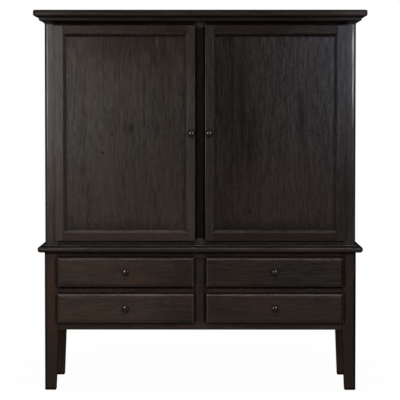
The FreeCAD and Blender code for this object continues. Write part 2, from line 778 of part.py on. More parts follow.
# Drawers: a bevelled overlay front on a grooved box
def drawer(side, word, level, floor, opening):
    """One drawer, closed."""
    name = f"{level}_{word}_drawer"
    near, far = stile_half - size.drawer_overlap, leg_inner + size.drawer_overlap
    wide, high = far - near, opening + size.drawer_overlap * 2
    bevel, depth, curve = size.bevel_width, size.bevel_depth, size.bevel_radius
    thick = size.front_thickness
    low_x, high_x = mirror(side, near, far)
    face_y = front - size.drawer_gap - thick
    face_z = floor - size.drawer_overlap

    body = doc.addObject("PartDesign::Body", name + "_face")
    pad(body, outline(body, name + "_section", "YZ_Plane", [
        (thick, 0), (thick, high), (depth, high), (0, high - bevel, curve, 1), (0, bevel),
        (depth, 0, curve, 1)]), wide)
    pocket(body, outline(body, name + "_left_bevel", "XY_Plane", [
        (0, depth, curve, -1), (0, 0), (bevel, 0)]))
    pocket(body, outline(body, name + "_right_bevel", "XY_Plane", [
        (wide - bevel, 0, curve, -1), (wide, 0), (wide, depth)]))
    put(body, low_x, face_y, face_z)
    knob_x, knob_z = (low_x + high_x) / 2, face_z + high / 2
    keep(f"{name}_front", cut(name + "_drilled", body, [
        screw_hole(name + "_knob_hole", thick, knob_x, face_y, knob_z)]))
    knob(f"{name}_knob", thick, knob_x, face_y, knob_z)

    run = (face_y + thick, face_y + thick + size.drawer_depth)
    wall_low = floor + size.runner_rise + size.runner_gap
    wall_z = (wall_low, wall_low + size.wall_height)
    bottom_z = (wall_low + size.bottom_rise, wall_low + size.bottom_rise + size.bottom_thickness)
    groove_z = (bottom_z[0] - size.bottom_play, bottom_z[1] + size.bottom_play)
    near_wall = (stile_half + size.drawer_play, stile_half + size.drawer_play + size.wall_thickness)
    far_wall = (leg_inner - size.drawer_play - size.wall_thickness, leg_inner - size.drawer_play)
    near_groove = (near_wall[1] - size.bottom_groove, near_wall[1])
    far_groove = (far_wall[0], far_wall[0] + size.bottom_groove)
    keep(f"{name}_walls", group(name + "_wall_set", [
        cut(f"{name}_near_wall", box(f"{name}_near_board", mirror(side, *near_wall), run, wall_z), [
            box(f"{name}_near_groove", mirror(side, *near_groove), run, groove_z)]),
        cut(f"{name}_far_wall", box(f"{name}_far_board", mirror(side, *far_wall), run, wall_z), [
            box(f"{name}_far_groove", mirror(side, *far_groove), run, groove_z)]),
        box(f"{name}_back_wall", mirror(side, near_wall[1], far_wall[0]),
            (run[1] - size.wall_thickness, run[1]), (bottom_z[1], wall_z[1]))]))
    bottom_x = (near_groove[0] + size.bottom_play, far_groove[1] - size.bottom_play)
    keep(f"{name}_bottom", box(f"{name}_bottom_board", mirror(side, *bottom_x), run, bottom_z))


for level, floor, opening in (("lower", lower_drawer_floor, size.lower_opening),
                              ("upper", upper_drawer_floor, size.upper_opening)):
    for side, word in sides:
        drawer(side, word, level, floor, opening)

# Every object must be sound before anything is written
doc.recompute()
for item in doc.Objects:
    if "Invalid" in item.State or "Error" in item.State:
        raise RuntimeError(f"{item.Label} failed: {item.State}")
for label, item in nodes.items():
    if item.Shape.isNull() or not item.Shape.isValid():
        raise RuntimeError(f"{label} is not a sound shape")

os.makedirs("parts", exist_ok=True)
for label, item in nodes.items():
    item.Shape.exportStep(f"parts/{label}.step")
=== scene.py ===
"""Looks of the computer armoire: stained oak, mouldings, fittings, studio light and camera.

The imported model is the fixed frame. Its boards keep their shape and get their finishes here. The
mouldings round the door panels are modelled anew, with the eased edges that a plane leaves.
"""

import logging
import math
from dataclasses import dataclass, replace
from enum import Enum
from typing import ClassVar

import bmesh
import bpy
import numpy as np
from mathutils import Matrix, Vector


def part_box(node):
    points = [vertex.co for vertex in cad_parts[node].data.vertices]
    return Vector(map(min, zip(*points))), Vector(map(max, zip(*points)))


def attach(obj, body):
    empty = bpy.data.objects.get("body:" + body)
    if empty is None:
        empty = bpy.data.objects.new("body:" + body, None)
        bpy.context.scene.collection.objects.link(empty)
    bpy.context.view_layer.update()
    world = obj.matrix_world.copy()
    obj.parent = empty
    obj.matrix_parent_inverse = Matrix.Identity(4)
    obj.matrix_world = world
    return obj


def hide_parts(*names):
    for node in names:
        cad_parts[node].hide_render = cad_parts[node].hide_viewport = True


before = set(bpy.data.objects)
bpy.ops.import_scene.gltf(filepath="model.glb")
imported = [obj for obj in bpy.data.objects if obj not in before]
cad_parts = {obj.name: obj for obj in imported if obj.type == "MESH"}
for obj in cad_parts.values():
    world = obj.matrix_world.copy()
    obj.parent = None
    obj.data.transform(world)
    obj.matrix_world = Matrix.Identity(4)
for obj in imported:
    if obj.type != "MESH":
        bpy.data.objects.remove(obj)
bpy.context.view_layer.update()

log = logging.getLogger("armoire")

Socket = bpy.types.NodeSocket
Triple = tuple[float, float, float]
Value = float | Triple | Socket
Pair = tuple[float, float]

WHITE: Triple = (1.0, 1.0, 1.0)
CREASE = math.radians(30)


class Side(Enum):
    """A side of the armoire, as seen from the front."""

    LEFT = "left"
    RIGHT = "right"


class Row(Enum):
    """A row of drawers."""

    UPPER = "upper"
    LOWER = "lower"


class Grain(Enum):
    """The way a board's grain runs: the turn that lays it along the pattern's own Z axis."""

    UP = (0.0, 0.0, 0.0)
    ACROSS = (0.0, -90.0, 0.0)
    DEEP = (90.0, 0.0, 0.0)


@dataclass(frozen=True)
class Noise:
    """A noise, drawn out along an axis where its cells are few.

    Attributes:
        cells: How many of its cells lie in a metre, along each axis.
        detail: The number of octaves.
        rough: How strong the finer octaves are.
    """

    cells: Triple
    detail: float
    rough: float = 0.5


class NodeSheet:
    """A node tree with short calls that add nodes and join them."""

    def __init__(self, tree: bpy.types.NodeTree) -> None:
        """Keeps the tree and empties it."""
        self.tree = tree
        tree.nodes.clear()

    def feed(self, socket: Socket, value: Value) -> None:
        """Sets a socket, or joins it to the socket that feeds it.

        Args:
            socket: The socket to set.
            value: A number, three numbers, or another node's output.
        """
        if isinstance(value, bpy.types.NodeSocket):
            self.tree.links.new(value, socket)
        elif socket.type == "RGBA":
            socket.default_value = (*value, 1.0)
        else:
            socket.default_value = value

    def add(self, kind: str, inputs: dict[str | int, Value] | None = None,
            **settings: object) -> bpy.types.Node:
        """Adds a node.

        Args:
            kind: The node's type.
            inputs: Values for its sockets, by name or number.
            settings: The node's own properties.

        Returns:
            The new node.
        """
        node = self.tree.nodes.new(kind)
        for name, value in settings.items():
            setattr(node, name, value)
        for name, value in (inputs or {}).items():
            self.feed(node.inputs[name], value)
        return node

    def math(self, operation: str, first: Value, second: Value = 0.0) -> Socket:
        """Returns the result of a Math node."""
        return self.add("ShaderNodeMath", {0: first, 1: second}, operation=operation).outputs[0]

    def vector(self, operation: str, first: Value, second: Value) -> Socket:
        """Returns the vector that a Vector Math node gives."""
        return self.add("ShaderNodeVectorMath", {0: first, 1: second}, operation=operation).outputs[0]

    def noise(self, place: Socket, noise: Noise) -> Socket:
        """Adds a noise.

        Args:
            place: The coordinates, in metres.
            noise: Its cells and octaves.

        Returns:
            The noise's value, about 0.5 on average.
        """
        inputs = {"Vector": self.vector("MULTIPLY", place, noise.cells), "Scale": 1.0,
                  "Detail": noise.detail, "Roughness": noise.rough}
        return self.add("ShaderNodeTexNoise", inputs).outputs[0]

    def ramp(self, value: Value, low: float, high: float, start: float = 0.0,
             end: float = 1.0) -> Socket:
        """Carries a range of a value smoothly to another range.

        Args:
            value: The value.
            low: Where the range begins.
            high: Where it ends.
            start: The result at its beginning.
            end: The result at its end.

        Returns:
            The result, held at its ends outside the range.
        """
        inputs = {"Value": value, "From Min": low, "From Max": high, "To Min": start, "To Max": end}
        node = self.add("ShaderNodeMapRange", inputs, interpolation_type="SMOOTHSTEP")
        return node.outputs[0]

    def mix(self, factor: Value, first: Value, second: Value, blend: str = "MIX") -> Socket:
        """Mixes two colours.

        Args:
            factor: The share of the second colour.
            first: The first colour.
            second: The second colour.
            blend: How the second is laid over the first.

        Returns:
            The mixed colour.
        """
        inputs = {0: factor, 6: first, 7: second}
        node = self.add("ShaderNodeMix", inputs, data_type="RGBA", blend_type=blend)
        return node.outputs[2]


@dataclass
class Effect:
    """A shader node group that several finishes use, built once.

    Attributes:
        name: The group's name.
        inputs: Each input's name and type.
        outputs: Each output's name and type.
    """

    name: str
    inputs: dict[str, str]
    outputs: dict[str, str]

    def start(self) -> tuple[NodeSheet, dict[str, Socket]]:
        """Makes the empty group.

        Returns:
            The group's node sheet, and its inputs by name.
        """
        tree = bpy.data.node_groups.new(self.name, "ShaderNodeTree")
        for way, sockets in (("INPUT", self.inputs), ("OUTPUT", self.outputs)):
            for name, kind in sockets.items():
                tree.interface.new_socket(name=name, in_out=way, socket_type="NodeSocket" + kind)
        sheet = NodeSheet(tree)
        given = sheet.add("NodeGroupInput")
        return sheet, {name: given.outputs[name] for name in self.inputs}

    def end(self, sheet: NodeSheet, results: dict[str, Socket]) -> bpy.types.NodeTree:
        """Joins the results to the group's outputs and returns the group."""
        sheet.add("NodeGroupOutput", results)
        return sheet.tree

    def place(self, sheet: NodeSheet, inputs: dict[str, Value]) -> dict[str, Socket]:
        """Puts the group into a material.

        Args:
            sheet: The material's node sheet.
            inputs: The values of the group's inputs.

        Returns:
            The group's outputs by name.
        """
        tree = bpy.data.node_groups.get(self.name) or self.build()
        node = sheet.add("ShaderNodeGroup", node_tree=tree)
        for name, value in inputs.items():
            sheet.feed(node.inputs[name], value)
        return {name: node.outputs[name] for name in self.outputs}

    def build(self) -> bpy.types.NodeTree:
        """Builds the group; each effect has its own."""
        raise NotImplementedError


class OakGrain(Effect):
    """Figure of a sawn oak board: rings, streaks, veins, fibres and pores along the pattern's Z."""

    # Noises of the figure, from the broadest to the finest
    DRIFT = Noise((3.6, 3.6, 1.4), 2.0)
    WANDER = Noise((5.0, 5.0, 0.9), 2.0)
    WARMTH = Noise((9.0, 9.0, 2.1), 3.0)
    STREAK = Noise((52.0, 52.0, 1.6), 3.0, 0.6)
    VEIN = Noise((240.0, 240.0, 9.0), 2.0, 0.6)
    FIBRE = Noise((250.0, 250.0, 62.0), 2.0, 0.6)
    PORE = Noise((900.0, 900.0, 42.0), 1.0)
    # Shifts of the figure from board to board, and of the warmth from the rest
    BOARD_SHIFT: Triple = (5.0, 5.0, 9.0)
    WARMTH_SHIFT: Triple = (7.0, 3.0, 11.0)
    # Growth rings: how far their heart wanders, and the length of one ring of the plain wave
    NOISE_MIDDLE: Triple = (0.5, 0.5, 0.5)
    HEART_SWING: Triple = (0.16, 0.16, 0.0)
    RING_LENGTH = math.pi / 10
    RING_WAVE = {"Scale": 1.0, "Distortion": 1.4, "Detail": 3.0, "Detail Scale": 1.3}
    RING_SHARPNESS = 2.0
    # Share of each part in the tone and in the relief
    TONE_BASE = -0.05
    SHARES = {"streak": 0.06, "vein": 0.52, "fibre": 0.36, "drift": 0.12, "board": 0.06,
              "rings": -0.06}
    FIBRE_RELIEF = 0.4
    PORE_RELIEF = 0.6
    # Ranges of the noises that show
    TONE_RANGE: Pair = (0.28, 0.72)
    WARMTH_RANGE: Pair = (0.16, 0.90)
    PORE_RANGE: Pair = (0.58, 0.74)

    def __init__(self) -> None:
        """Names the sockets."""
        super().__init__(
            "oak_grain",
            {"Place": "Vector", "Board Width": "Float", "Ring Width": "Float", "Run": "Float"},
            {"Tone": "Float", "Warmth": "Float", "Pores": "Float", "Height": "Float"})

    def build(self) -> bpy.types.NodeTree:
        """Builds the group.

        A board's number is its place across the grain over the board width, rounded down, and
        shifts its figure and tone. Rings are the saw wave of the distance from a wandering heart
        line. Streaks, veins, fibres and pores are noises drawn out along the grain, ever finer. The
        run is how often veins and fibres end along the grain. The tone is the sum of the parts,
        each times its share.

        Returns:
            The group.
        """
        sheet, given = self.start()
        across = sheet.add("ShaderNodeSeparateXYZ", {0: given["Place"]}).outputs[0]
        number = sheet.math("FLOOR", sheet.math("DIVIDE", across, given["Board Width"]))
        board = sheet.add("ShaderNodeTexWhiteNoise", {"W": number}, noise_dimensions="1D")
        shift = sheet.vector("MULTIPLY", board.outputs[1], self.BOARD_SHIFT)
        place = sheet.vector("ADD", given["Place"], shift)
        wander = sheet.noise(place, self.WANDER).node.outputs[1]
        swing = sheet.vector("SUBTRACT", wander, self.NOISE_MIDDLE)
        heart = sheet.vector("ADD", place, sheet.vector("MULTIPLY", swing, self.HEART_SWING))
        density = sheet.math("DIVIDE", self.RING_LENGTH, given["Ring Width"])
        spread = sheet.add("ShaderNodeVectorMath", {0: heart, "Scale": density}, operation="SCALE")
        wave = sheet.add("ShaderNodeTexWave", {"Vector": spread.outputs[0], **self.RING_WAVE},
                         wave_type="RINGS", rings_direction="Z", wave_profile="SAW")
        runs = sheet.add("ShaderNodeCombineXYZ", {0: 1.0, 1: 1.0, 2: given["Run"]}).outputs[0]
        short = sheet.vector("MULTIPLY", place, runs)
        vein = sheet.noise(short, self.VEIN)
        fibre = sheet.noise(short, self.FIBRE)
        pores = sheet.ramp(sheet.noise(place, self.PORE), *self.PORE_RANGE)
        parts = {
            "streak": sheet.noise(place, self.STREAK), "vein": vein, "fibre": fibre,
            "drift": sheet.noise(place, self.DRIFT), "board": board.outputs[0],
            "rings": sheet.math("POWER", wave.outputs[1], self.RING_SHARPNESS)}
        tone = self.TONE_BASE
        for name, part in parts.items():
            tone = sheet.math("ADD", tone, sheet.math("MULTIPLY", part, self.SHARES[name]))
        warm = sheet.noise(sheet.vector("ADD", place, self.WARMTH_SHIFT), self.WARMTH)
        relief = sheet.math("ADD", sheet.math("MULTIPLY", fibre, self.FIBRE_RELIEF), vein)
        height = sheet.math("SUBTRACT", relief, sheet.math("MULTIPLY", pores, self.PORE_RELIEF))
        return self.end(sheet, {
            "Tone": sheet.ramp(tone, *self.TONE_RANGE),
            "Warmth": sheet.ramp(warm, *self.WARMTH_RANGE),
            "Pores": pores,
            "Height": height})


class WornEdges(Effect):
    """Mask of the arrises that handling rubs pale, broken up along their length."""

    SAMPLES = 4
    LEAN_RANGE: Pair = (0.99, 0.80)
    RUBBING = Noise((21.0, 21.0, 21.0), 4.0)
    RUBBING_RANGE: Pair = (0.30, 0.62)

    def __init__(self) -> None:
        """Names the sockets."""
        super().__init__("worn_edges", {"Place": "Vector", "Reach": "Float"}, {"Mask": "Float"})

    def build(self) -> bpy.types.NodeTree:
        """Builds the group: how far the normal of a softened edge leans from the face's own.

        Returns:
            The group.
        """
        sheet, given = self.start()
        inputs = {"Radius": given["Reach"]}
        soft = sheet.add("ShaderNodeBevel", inputs, samples=self.SAMPLES).outputs[0]
        face = sheet.add("ShaderNodeNewGeometry").outputs["Normal"]
        lean = sheet.add("ShaderNodeVectorMath", {0: soft, 1: face}, operation="DOT_PRODUCT")
        edge = sheet.ramp(lean.outputs["Value"], *self.LEAN_RANGE)
        rubbed = sheet.ramp(sheet.noise(given["Place"], self.RUBBING), *self.RUBBING_RANGE)
        return self.end(sheet, {"Mask": sheet.math("MULTIPLY", edge, rubbed)})


class PaintedCornerShade(Effect):
    """Mask of the corners and gaps that are painted near black: painted shade, where light falls
    less.
    """

    SAMPLES = 6
    AIR_RANGE: Pair = (0.92, 0.62)

    def __init__(self) -> None:
        """Names the sockets."""
        super().__init__("painted_corner_shade", {"Reach": "Float"}, {"Mask": "Float"})

    def build(self) -> bpy.types.NodeTree:
        """Builds the group: how much of the air within reach is shut in.

        Returns:
            The group.
        """
        sheet, given = self.start()
        inputs = {"Distance": given["Reach"]}
        air = sheet.add("ShaderNodeAmbientOcclusion", inputs, samples=self.SAMPLES).outputs["AO"]
        return self.end(sheet, {"Mask": sheet.ramp(air, *self.AIR_RANGE)})


class MarkMask(Effect):
    """Mask of one mark in a board: a knot, a streak, a painted shadow or highlight, or a warm patch
    of painted weaker sheen.
    """

    FRAY = Noise((120.0, 120.0, 9.0), 3.0)
    FRAY_MIDDLE = 0.5
    FRAY_REACH = 1.1
    FADE: Pair = (1.0, 0.15)

    def __init__(self) -> None:
        """Names the sockets."""
        super().__init__("mark_mask", {"Place": "Vector", "Centre": "Vector", "Spread": "Vector"},
                         {"Mask": "Float"})

    def build(self) -> bpy.types.NodeTree:
        """Builds the group: one at the centre, falling to nothing over the spread, its edge frayed.

        Returns:
            The group.
        """
        sheet, given = self.start()
        away = sheet.vector("DIVIDE", sheet.vector("SUBTRACT", given["Place"], given["Centre"]),
                            given["Spread"])
        length = sheet.add("ShaderNodeVectorMath", {0: away}, operation="LENGTH").outputs["Value"]
        fray = sheet.math("SUBTRACT", sheet.noise(given["Place"], self.FRAY), self.FRAY_MIDDLE)
        frayed = sheet.math("ADD", length, sheet.math("MULTIPLY", fray, self.FRAY_REACH))
        return self.end(sheet, {"Mask": sheet.ramp(frayed, *self.FADE)})


OAK_GRAIN = OakGrain()
WORN_EDGES = WornEdges()
PAINTED_CORNER_SHADE = PaintedCornerShade()
MARK_MASK = MarkMask()


@dataclass(frozen=True)
class Mark:
    """A knot, a streak, a painted shadow or highlight, or a warm patch of painted weaker sheen, in
    the armoire's own frame, in metres.

    Attributes:
        x: Its place across the front.
        z: Its height.
        width: Half its width.
        height: Half its height.
        depth: How dark it is, or how pale where it is negative.
        y: The middle of its reach from front to back.
        through: Half its reach from front to back.
        warm: Whether it is a warm, dull patch, painted weaker reflection of the lamps, instead of a
            dark or a pale mark.
    """

    x: float
    z: float
    width: float
    height: float
    depth: float
    y: float = -0.305
    through: float = 0.05
    warm: bool = False


def new_material(name: str) -> tuple[bpy.types.Material, NodeSheet]:
    """Makes an empty material and returns it with its node sheet."""
    material = bpy.data.materials.new(name)
    material.use_nodes = True
    return material, NodeSheet(material.node_tree)


def surface(sheet: NodeSheet, inputs: dict[str, Value]) -> None:
    """Adds the Principled shader with these inputs and the material's output."""
    shader = sheet.add("ShaderNodeBsdfPrincipled", inputs)
    sheet.add("ShaderNodeOutputMaterial", {"Surface": shader.outputs[0]})


def bump(sheet: NodeSheet, height: Socket, strength: float, distance: float) -> Socket:
    """Returns the normal that a height gives.

    Args:
        sheet: The material's node sheet.
        height: The height, from 0 to 1.
        strength: How much of it shows.
        distance: Its depth in metres.

    Returns:
        The normal.
    """
    node = sheet.add("ShaderNodeBump", {"Height": height, "Strength": strength, "Distance": distance})
    return node.outputs[0]


def figure_place(sheet: NodeSheet, step: Triple, number: int, grain: Grain = Grain.UP,
                 fine: float = 1.0) -> tuple[Socket, Socket]:
    """Works out where a piece's pattern lies.

    Args:
        sheet: The material's node sheet.
        step: How far the pattern moves from one piece to the next.
        number: The piece's number.
        grain: The way the grain runs.
        fine: How fine the pattern is.

    Returns:
        The piece's own coordinates, and the same turned and moved for the pattern.
    """
    here = sheet.add("ShaderNodeTexCoord").outputs["Object"]
    place = sheet.add("ShaderNodeMapping", {
        "Vector": here, "Location": tuple(part * number for part in step),
        "Rotation": tuple(math.radians(angle) for angle in grain.value), "Scale": (fine,) * 3})
    return here, place.outputs[0]


@dataclass(frozen=True)
class StainedOak:
    """Open-grained oak under a dark stain and a satin lacquer.

    Attributes:
        grain: The way the grain runs.
        shade: Brightness against the ordinary board.
        red: How much of the warm brown shows through the stain.
        board: Width of the boards that a panel is glued up from.
        rings: Spacing of the growth rings.
        run: How often veins and fibres end along the grain.
        lacquer: Weight of the lacquer's shine.
        play: How much the shine varies with the figure.
        reach: How far the painted shade spreads out of a corner.
        wear: How pale the arrises are rubbed.
        fine: How fine the figure is.
        cast: Tint of the stain; the right door's blue tint paints the cool light it reflects.
        marks: Knots and streaks, and painted shadows, highlights and warm patches of weaker sheen.
    """

    grain: Grain = Grain.UP
    shade: float = 1.0
    red: float = 0.5
    board: float = 9.0
    rings: float = 0.016
    run: float = 1.7
    lacquer: float = 0.055
    play: float = 0.38
    reach: float = 0.018
    wear: float = 0.5
    fine: float = 1.0
    cast: Triple = WHITE
    marks: tuple[Mark, ...] = ()

    DARK: ClassVar[Triple] = (0.0022, 0.0015, 0.0011)
    PALE: ClassVar[Triple] = (0.0170, 0.0130, 0.0099)
    WARM: ClassVar[Triple] = (0.0200, 0.0110, 0.0066)
    RUBBED: ClassVar[Triple] = (0.0800, 0.0640, 0.0520)
    # Painted highlight: the pale colour that the pale marks turn to
    PAINTED_HIGHLIGHT: ClassVar[Triple] = (0.2000, 0.1850, 0.1800)
    # Warm, dull patches: the colour and the loss of shine that paint weaker reflection of the lamps
    # low down
    LOW_SHEEN_WARM: ClassVar[Triple] = (0.0225, 0.0122, 0.0072)
    # The near black of the painted corner shade, and how much of it covers
    CORNER_SHADE_DARK: ClassVar[Triple] = (0.0006, 0.0004, 0.0003)
    CORNER_SHADE_COVER: ClassVar[float] = 0.9
    PORE_COVER: ClassVar[float] = 0.5
    LOW_SHEEN_DULLING: ClassVar[float] = 0.4
    EDGE_REACH: ClassVar[float] = 0.003
    FIGURE_STEP: ClassVar[Triple] = (1.7, 2.9, 0.8)
    ROUGH: ClassVar[Pair] = (0.62, 0.48)
    COAT_ROUGH: ClassVar[float] = 0.24
    COAT_IOR: ClassVar[float] = 2.0
    GLANCE_BLEND: ClassVar[float] = 0.5
    GLANCE_RANGE: ClassVar[Pair] = (0.35, 0.85)
    BUMP: ClassVar[Pair] = (0.5, 0.0008)

    def mark_tint(self, mark: Mark) -> tuple[Triple, float]:
        """Returns the colour at a mark's middle and the share of the shine that it takes away."""
        # Warm patches paint weaker lamp reflection, pale marks paint highlights, dark marks are
        # knots, streaks and painted shadows
        if mark.warm:
            return self.LOW_SHEEN_WARM, self.LOW_SHEEN_DULLING
        return (self.DARK, 1.0) if mark.depth > 0 else (self.PAINTED_HIGHLIGHT, 0.0)

    def material(self, name: str, number: int) -> bpy.types.Material:
        """Makes the finish of one board.

        Args:
            name: The board's name.
            number: The board's number, which moves it to its own part of the figure.

        Returns:
            The material.
        """
        material, sheet = new_material("oak_" + name)
        here, place = figure_place(sheet, self.FIGURE_STEP, number, self.grain, self.fine)
        grain = OAK_GRAIN.place(sheet, {
            "Place": place, "Board Width": self.board, "Ring Width": self.rings, "Run": self.run})
        edges = WORN_EDGES.place(sheet, {"Place": here, "Reach": self.EDGE_REACH})["Mask"]
        colour = sheet.mix(grain["Tone"], self.DARK, self.PALE)
        colour = sheet.mix(sheet.math("MULTIPLY", grain["Warmth"], self.red), colour, self.WARM)
        pores = sheet.math("MULTIPLY", grain["Pores"], self.PORE_COVER)
        colour = sheet.mix(pores, colour, self.DARK)
        low, high = (self.lacquer * (1.0 + sense * self.play) for sense in (-1.0, 1.0))
        shine = sheet.ramp(grain["Tone"], 0.0, 1.0, low, high)
        for mark in self.marks:
            mask = MARK_MASK.place(sheet, {
                "Place": here, "Centre": (mark.x, mark.y, mark.z),
                "Spread": (mark.width, mark.through, mark.height)})["Mask"]
            share = sheet.math("MULTIPLY", mask, abs(mark.depth))
            tint, dulled = self.mark_tint(mark)
            colour = sheet.mix(share, colour, tint)
            if dulled:
                left = sheet.math("SUBTRACT", 1.0, sheet.math("MULTIPLY", share, dulled))
                shine = sheet.math("MULTIPLY", shine, left)
        stain = tuple(self.shade * share for share in self.cast)
        colour = sheet.mix(1.0, colour, stain, "MULTIPLY")
        colour = sheet.mix(sheet.math("MULTIPLY", edges, self.wear), colour, self.RUBBED)
        # Painted shade: corners and gaps within reach turn near black and lose their shine
        shut = PAINTED_CORNER_SHADE.place(sheet, {"Reach": self.reach})["Mask"]
        colour = sheet.mix(sheet.math("MULTIPLY", shut, self.CORNER_SHADE_COVER), colour, self.CORNER_SHADE_DARK)
        shine = sheet.math("MULTIPLY", shine, sheet.math("SUBTRACT", 1.0, shut))
        glance = sheet.add("ShaderNodeLayerWeight", {"Blend": self.GLANCE_BLEND}).outputs["Facing"]
        shine = sheet.math("MULTIPLY", shine, sheet.ramp(glance, *self.GLANCE_RANGE, 1.0, 0.0))
        surface(sheet, {
            "Base Color": colour,
            "Roughness": sheet.ramp(grain["Tone"], 0.0, 1.0, *self.ROUGH),
            "Specular IOR Level": 0.0,
            "Coat Weight": shine,
            "Coat Roughness": self.COAT_ROUGH,
            "Coat IOR": self.COAT_IOR,
            "Normal": bump(sheet, grain["Height"], *self.BUMP)})
        return material


@dataclass(frozen=True)
class PaleWood:
    """Unstained drawer-box wood, planed and waxed, with its grain from front to back.

    Attributes:
        board: Width of the boards that a panel is glued up from.
    """

    board: float = 9.0

    DARK: ClassVar[Triple] = (0.255, 0.150, 0.072)
    PALE: ClassVar[Triple] = (0.520, 0.360, 0.205)
    WARM: ClassVar[Triple] = (0.420, 0.240, 0.115)
    WARM_COVER: ClassVar[float] = 0.5
    PORE_COVER: ClassVar[float] = 0.4
    RINGS: ClassVar[float] = 0.012
    RUN: ClassVar[float] = 1.0
    FIGURE_STEP: ClassVar[Triple] = (1.3, 2.1, 0.6)
    ROUGH: ClassVar[Pair] = (0.62, 0.50)
    SPECULAR: ClassVar[float] = 0.3
    BUMP: ClassVar[Pair] = (0.3, 0.0004)

    def material(self, name: str, number: int) -> bpy.types.Material:
        """Makes the finish of one board.

        Args:
            name: The board's name.
            number: The board's number, which moves it to its own part of the figure.

        Returns:
            The material.
        """
        material, sheet = new_material("pale_" + name)
        place = figure_place(sheet, self.FIGURE_STEP, number, Grain.DEEP)[1]
        grain = OAK_GRAIN.place(sheet, {
            "Place": place, "Board Width": self.board, "Ring Width": self.RINGS, "Run": self.RUN})
        colour = sheet.mix(grain["Tone"], self.DARK, self.PALE)
        warm = sheet.math("MULTIPLY", grain["Warmth"], self.WARM_COVER)
        colour = sheet.mix(warm, colour, self.WARM)
        pores = sheet.math("MULTIPLY", grain["Pores"], self.PORE_COVER)
        colour = sheet.mix(pores, colour, self.DARK)
        surface(sheet, {
            "Base Color": colour,
            "Roughness": sheet.ramp(grain["Tone"], 0.0, 1.0, *self.ROUGH),
            "Specular IOR Level": self.SPECULAR,
            "Normal": bump(sheet, grain["Height"], *self.BUMP)})
        return material


@dataclass(frozen=True)
class Metal:
    """Plated or bronzed metal with a mottled skin, rubbed bright on its edges.

    Attributes:
        dark: The darker colour of the mottling.
        pale: The paler colour of the mottling.
        rubbed: The colour of the rubbed edges.
        rough: The smoothest and the roughest of the skin.
    """

    dark: Triple
    pale: Triple
    rubbed: Triple
    rough: Pair

    FIGURE_STEP: ClassVar[Triple] = (0.7, 1.1, 1.9)
    MOTTLE: ClassVar[Noise] = Noise((190.0, 190.0, 190.0), 4.0, 0.6)
    MOTTLE_RANGE: ClassVar[Pair] = (0.34, 0.68)
    SCRATCHES: ClassVar[Noise] = Noise((2600.0, 300.0, 500.0), 2.0)
    EDGE_REACH: ClassVar[float] = 0.001
    EDGE_COVER: ClassVar[float] = 0.6
    RIM_TINT: ClassVar[Triple] = (0.2, 0.2, 0.2)
    BUMP: ClassVar[Pair] = (0.12, 0.0001)

    def material(self, name: str, number: int) -> bpy.types.Material:
        """Makes the finish of one fitting.

        Args:
            name: The fitting's name.
            number: The fitting's number, which moves its mottling.

        Returns:
            The material.
        """
        material, sheet = new_material("metal_" + name)
        here, place = figure_place(sheet, self.FIGURE_STEP, number)
        mottle = sheet.ramp(sheet.noise(place, self.MOTTLE), *self.MOTTLE_RANGE)
        edges = WORN_EDGES.place(sheet, {"Place": here, "Reach": self.EDGE_REACH})["Mask"]
        colour = sheet.mix(mottle, self.dark, self.pale)
        colour = sheet.mix(sheet.math("MULTIPLY", edges, self.EDGE_COVER), colour, self.rubbed)
        surface(sheet, {
            "Base Color": colour,
            "Metallic": 1.0,
            "Specular Tint": self.RIM_TINT,
            "Roughness": sheet.ramp(mottle, 0.0, 1.0, self.rough[1], self.rough[0]),
            "Normal": bump(sheet, sheet.noise(place, self.SCRATCHES), *self.BUMP)})
        return material


@dataclass(frozen=True)
class MouldedPlastic:
    """Brown moulded plastic with a fine spark-eroded skin."""

    DARK: ClassVar[Triple] = (0.030, 0.020, 0.014)
    PALE: ClassVar[Triple] = (0.048, 0.033, 0.024)
    FIGURE_STEP: ClassVar[Triple] = (0.3, 0.9, 1.4)
    SKIN: ClassVar[Noise] = Noise((1500.0, 1500.0, 1500.0), 2.0)
    CLOUD: ClassVar[Noise] = Noise((40.0, 40.0, 40.0), 2.0)
    COLOUR_RANGE: ClassVar[Pair] = (0.35, 0.65)
    ROUGH_RANGE: ClassVar[Pair] = (0.3, 0.7)
    ROUGH: ClassVar[Pair] = (0.55, 0.45)
    SPECULAR: ClassVar[float] = 0.4
    BUMP: ClassVar[Pair] = (0.2, 0.0002)

    def material(self, name: str, number: int) -> bpy.types.Material:
        """Makes the finish of one fitting.

        Args:
            name: The fitting's name.
            number: The fitting's number, which moves its skin.

        Returns:
            The material.
        """
        material, sheet = new_material("plastic_" + name)
        place = figure_place(sheet, self.FIGURE_STEP, number)[1]
        cloud = sheet.noise(place, self.CLOUD)
        surface(sheet, {
            "Base Color": sheet.mix(sheet.ramp(cloud, *self.COLOUR_RANGE), self.DARK, self.PALE),
            "Roughness": sheet.ramp(cloud, *self.ROUGH_RANGE, *self.ROUGH),
            "Specular IOR Level": self.SPECULAR,
            "Normal": bump(sheet, sheet.noise(place, self.SKIN), *self.BUMP)})
        return material


Finish = StainedOak | PaleWood | Metal | MouldedPlastic

BRONZED = Metal((0.008, 0.007, 0.006), (0.022, 0.020, 0.018), (0.10, 0.09, 0.08), (0.08, 0.14))
ZINC = Metal((0.36, 0.36, 0.35), (0.56, 0.56, 0.54), (0.70, 0.70, 0.68), (0.30, 0.46))
BLACKENED = Metal((0.008, 0.007, 0.006), (0.018, 0.016, 0.015), (0.05, 0.045, 0.04), (0.50, 0.64))


